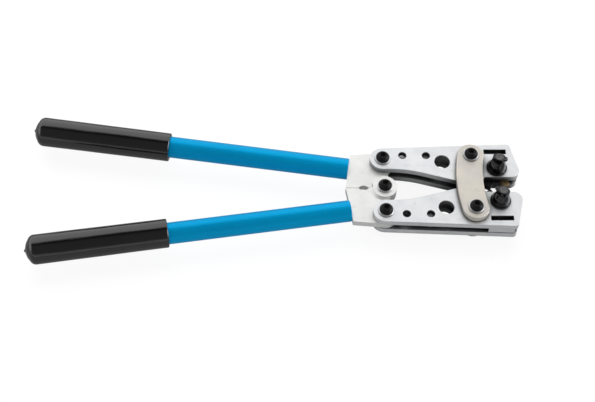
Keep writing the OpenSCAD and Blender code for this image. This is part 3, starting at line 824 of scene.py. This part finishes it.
# Surroundings by their lean from straight up, in degrees towards +Y, and their brightness: what mirror rays see,
# and the soft fill for diffuse rays. Mirror rays also see a light on either side, which starts and is full at
# these parts of their direction's X
MIRRORED_LIGHT = 1.3
MIRRORED_ARCH = (
    (-90, 0.6), (-80, 0.42), (-68, 0.13), (-20, 0.12), (-6, 0.1), (4, 0.02), (12, 0.05), (19, 0.5), (26, 1.0),
    (90, 1.0),
)
NOSE_LIGHT = (0.55, 0.72)
GRIP_LIGHT = (-0.55, -0.9)
# Small lamps that only mirror rays see, beyond the grips and the nose: their direction and their brightness
SIDE_LAMPS_AT = (0.95, -0.05, 0.3)
SIDE_LAMPS = (1.2, 5.5)
FILL_ARCH = ((-90, 0.95), (-60, 0.7), (-30, 0.5), (0, 0.36), (90, 0.3))


def arch(tree, direction, steps):
    """Brightness of the surroundings by how far a direction leans from straight up towards +Y: the angle whose
    tangent is Y over Z, looked up in the arch's steps."""
    parts = node(tree, "ShaderNodeSeparateXYZ", {0: direction}).outputs
    lean = node(tree, "ShaderNodeMath", {0: parts["Y"], 1: parts["Z"]}, operation="ARCTAN2").outputs[0]
    ramp = node(tree, "ShaderNodeValToRGB", {0: spread(tree, lean, 0, 1, -math.pi / 2, math.pi / 2)})
    ramp.color_ramp.interpolation = "EASE"
    stops = ramp.color_ramp.elements
    for lean_deg, light in steps:
        at = 0.5 + lean_deg / 180
        stop = stops[0] if at == 0 else stops[len(stops) - 1] if at == 1 else stops.new(at)
        stop.color = (light, light, light, 1)
    return ramp.outputs[0]


def studio():
    """White surroundings for camera and glass rays, a banded arch between two bright sides for mirror rays, and
    a soft arch, brighter in front, for all others. One large softbox stands behind the tool."""
    scene = bpy.context.scene
    scene.view_settings.view_transform = "Standard"
    world = bpy.data.worlds.new("studio")
    scene.world = world
    world.use_nodes = True
    tree = world.node_tree
    rays = node(tree, "ShaderNodeLightPath", {}).outputs
    seen_white = {0: rays["Is Camera Ray"], 1: rays["Is Transmission Ray"]}
    clear = node(tree, "ShaderNodeMath", seen_white, operation="MAXIMUM")
    direction = node(tree, "ShaderNodeTexCoord", {}).outputs["Generated"]
    sideways = node(tree, "ShaderNodeSeparateXYZ", {0: direction}).outputs["X"]
    both_sides = {0: spread(tree, sideways, 0, 1, *NOSE_LIGHT), 1: spread(tree, sideways, 0, 0.4, *GRIP_LIGHT)}
    side_share = node(tree, "ShaderNodeMath", both_sides).outputs[0]
    mirrored = tinted(tree, side_share, arch(tree, direction, MIRRORED_ARCH), (1, 1, 1))
    for side, light in zip((-1, 1), SIDE_LAMPS):
        towards = Vector((side * SIDE_LAMPS_AT[0], *SIDE_LAMPS_AT[1:])).normalized()
        near = node(tree, "ShaderNodeVectorMath", {0: direction, 1: towards}, operation="DOT_PRODUCT").outputs["Value"]
        mirrored = tinted(tree, spread(tree, near, 0, 1, 0.9, 0.97), mirrored, (light, light, light))
    unseen = tinted(tree, rays["Is Glossy Ray"], arch(tree, direction, FILL_ARCH), mirrored)
    background = tree.nodes["Background"]
    tree.links.new(tinted(tree, clear.outputs[0], unseen, (1, 1, 1)), background.inputs["Color"])
    tree.links.new(spread(tree, rays["Is Glossy Ray"], 1, MIRRORED_LIGHT, 0, 1), background.inputs["Strength"])
    softbox("rear_softbox", (-0.1, 0.95, 1.05), (1.7, 1.3), SOFTBOX_LIGHT)


def floor():
    """Pale floor under the tool. The camera sees it mixed with white, which lightens its shadows, and mirror rays
    see it mixed with grey."""
    mesh = bpy.data.meshes.new("floor")
    half = 4.0
    mesh.from_pydata([(-half, -half, 0), (half, -half, 0), (half, half, 0), (-half, half, 0)], [], [(0, 1, 2, 3)])
    plane = bpy.data.objects.new("floor", mesh)
    bpy.context.scene.collection.objects.link(plane)
    material, tree, shader = recipe("pale_floor", (0.86, 0.86, 0.86), 0.9)[:3]
    rays = node(tree, "ShaderNodeLightPath", {}).outputs
    seen = node(tree, "ShaderNodeMath", {0: rays["Is Camera Ray"], 1: rays["Is Glossy Ray"]}, operation="MAXIMUM")
    share = spread(tree, seen.outputs[0], 0, 0.8, 0, 1)
    glow = node(tree, "ShaderNodeEmission", {"Strength": spread(tree, rays["Is Camera Ray"], 0.32, 1.12, 0, 1)})
    both = node(tree, "ShaderNodeMixShader", {0: share, 1: shader.outputs[0], 2: glow.outputs[0]})
    tree.links.new(both.outputs[0], tree.nodes["Material Output"].inputs["Surface"])
    mesh.materials.append(material)
    plane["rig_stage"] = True


# ---- The dressed tool ----

SLOT_OF = {part["node"]: part["material_slot"] for part in frame["record"]["subparts"]}
camera = place_camera()
studio()
floor()
tint_place = on_surface(camera, "straw_tint", NODES["upper_die_wheel"])
MATERIALS = {
    "jaw_zinc": zinc_plate("jaw_zinc", (0.80, 0.81, 0.82), (0.71, 0.725, 0.745)),
    # The head's last numbers set its painted shade in gaps and holes: how far it reaches, and where it is full and
    # where it ends.
    "head_zinc": zinc_plate("head_zinc", (0.9, 0.9, 0.88), (0.81, 0.815, 0.80), (0.4, 0.54), (18 * MM, 0.08, 0.32)),
    "link_zinc": zinc_plate("link_zinc", (0.70, 0.66, 0.59), (0.62, 0.585, 0.545), (0.4, 0.54)),
    "bright_steel": bright_steel(),
    "blued_steel": blued_steel(tint_place, 6 * MM),
    "black_screw": black_oxide(),
    "blue_paint": blue_paint(),
    "black_grip": dipped_vinyl(),
    "black_knob": lacquered_knob(),
    "knob_cap": moulded("knob_cap", (0.075, 0.074, 0.076), (0.42, 0.55)),
}
for name, cad_node in NODES.items():
    cad_node.data.materials.clear()
    cad_node.data.materials.append(MATERIALS[SLOT_OF[name]])

dies_face = upright_axis("upper_knob")
pointer_seen = on_surface(camera, "upper_pointer", NODES["upper_knob"])
pointer_turn = math.atan2(pointer_seen.y - dies_face[1], pointer_seen.x - dies_face[0])
for side, phase in zip(SIDES, (0.6, 2.9)):
    handle_tube(side)
    grip(side, phase)
    for source, radius in (
        ("lever_head", 0.7 * MM), ("jaw_front_plate", 0.8 * MM), ("jaw_back_plate", 0.8 * MM),
        ("nose_block", 0.3 * MM), ("die_wheel", 0.25 * MM), ("retaining_ring", 0.15 * MM),
    ):
        install(softened(f"{side}_{source}_worked", f"{side}_{source}", radius), f"{side}_{source}",
                MATERIALS[SLOT_OF[f"{side}_{source}"]])
    die_axle(side)
    ring(f"{side}_turned_sleeve", f"{side}_spacer_sleeve", 3.2 * MM, 5 * MM, 6 * MM, 0.25 * MM, "bright_steel")
    ring(f"{side}_plain_washer", f"{side}_thrust_washer", AXLE_R, 6.5 * MM, 0.8 * MM, 0.15 * MM, "bright_steel")
    ring(f"{side}_moulded_seat", f"{side}_knob_seat", COLLAR_R + 0.3 * MM, SEAT_R, SEAT_H, 0.42 * MM, "black_knob")
    knob(side, pointer_turn if side == "upper" else LOWER_TURN)
    knob_cap(side)
    knob_spring(side)
for face in ("front", "back"):
    source = f"{face}_link_plate"
    install(softened(f"{source}_worked", source, 0.9 * MM, 4), source, MATERIALS["link_zinc"])
for stack in PINS_UNDER:
    fastenings(stack)

# ---- What the image points say ----


def finished_points(pieces):
    """Every vertex of the pieces with their modifiers applied, as an array of N by 3."""
    graph = bpy.context.evaluated_depsgraph_get()
    clouds = []
    for piece in pieces:
        mesh = piece.evaluated_get(graph).data
        places = np.zeros(len(mesh.vertices) * 3)
        mesh.vertices.foreach_get("co", places)
        clouds.append(places.reshape(-1, 3))
    return np.vstack(clouds)


def middle_seen(piece, place, reach):
    """Middle, in the photograph's frame, of a piece's finished vertices that lie within reach of a place."""
    points = finished_points([bpy.data.objects[piece]])
    near = points[np.linalg.norm(points - np.array(place), axis=1) < reach]
    shown = photo_place(camera, near)
    return (shown.min(0) + shown.max(0)) / 2


def measure_points():
    """How far each named thing shows from its image point, in pixels."""
    all_shown = photo_place(camera, finished_points(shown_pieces()))
    low, high = all_shown.min(0), all_shown.max(0)
    seen = {"left_edge": (low[0], None), "right_edge": (high[0], None),
            "top_edge": (None, low[1]), "bottom_edge": (None, high[1])}
    screws = {"centre_screw": ("centre", "centre_pin"), "upper_rear_screw": ("upper_rear", "upper_rear_pin"),
              "lower_rear_screw": ("lower_rear", "lower_rear_pin"), "upper_link_screw": ("link", "upper_link_pin"),
              "lower_link_screw": ("link", "lower_link_pin")}
    for name, (stack, pin) in screws.items():
        x, y, low_z, high_z = upright_axis(pin)
        seen[name] = middle_seen(f"{stack}_button_screws", (x, y, high_z + WASHER_T + 0.5 * HEAD_H), HEAD_R * 1.1)
    for side in SIDES:
        mount = next(m for m in frame["record"]["mounts"] if m["name"] == f"{side}_jaw_large_hole")
        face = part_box(f"{side}_jaw_front_plate")[1].z
        place = (mount["pos_m"][0], mount["pos_m"][1], face)
        reach = 1.15 * mount["dims"]["r_mm"] * MM
        seen[f"{side}_large_hole"] = middle_seen(f"{side}_jaw_front_plate_worked", place, reach)
        x, y, low_z, high_z = upright_axis(f"{side}_knob_cap")
        seen[f"{side}_knob_cap"] = middle_seen(f"{side}_dished_cap", (x, y, high_z), 1.1 * CAP_R)
        start, direction, length = long_axis(f"{side}_grip")
        seen[f"{side}_grip_tip"] = middle_seen(f"{side}_dipped_grip", start + direction * length, NIPPLE_R)
    x, y, low_z, high_z = upright_axis("upper_knob")
    tip = POINTER_REACH - POINTER_W / 2
    place = (x + tip * math.cos(pointer_turn), y + tip * math.sin(pointer_turn), high_z - POINTER_DROP - POINTER_H / 2)
    seen["upper_pointer"] = photo_place(camera, np.array([place]))[0]
    seen["straw_tint"] = photo_place(camera, np.array([tint_place]))[0]
    off = {}
    for name, wanted in POINTS.items():
        off[name] = [None if w is None else round(float(s) - w, 2) for s, w in zip(seen[name], wanted)]
    return off


measure_points()
